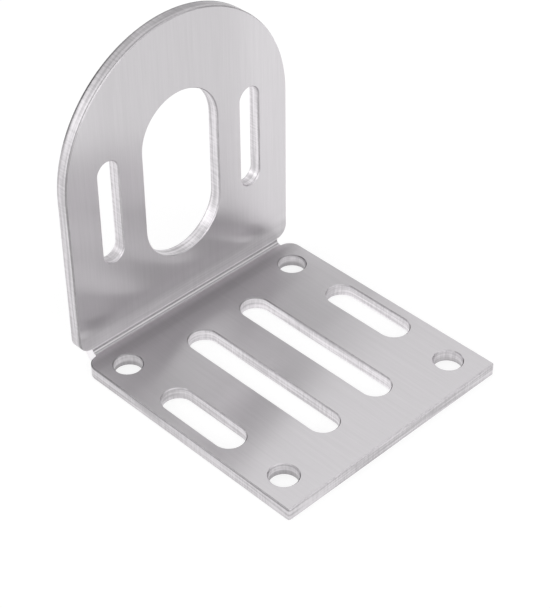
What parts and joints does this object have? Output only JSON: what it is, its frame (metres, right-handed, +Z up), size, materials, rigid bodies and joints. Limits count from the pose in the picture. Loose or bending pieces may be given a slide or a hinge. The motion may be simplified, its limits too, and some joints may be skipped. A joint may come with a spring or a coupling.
{
  "type": "motor mounting bracket",
  "caption": "Bracket folded from one steel sheet: a flat base with bolt holes and adjusting slots, and an arched upright with a round-ended motor opening between screw slots.",
  "frame": {"origin": "centre of the base's four round holes, on the underside", "axes": "+Z up along the upright, +Y towards the rear face of the upright, +X across the bracket"},
  "size_m": [0.06, 0.0642, 0.0723],
  "materials": {
    "brushed_sheet": "brushed stainless steel, satin"
  },
  "bodies": {
    "root": {"bracket": "brushed_sheet"}
  },
  "joints": []
}
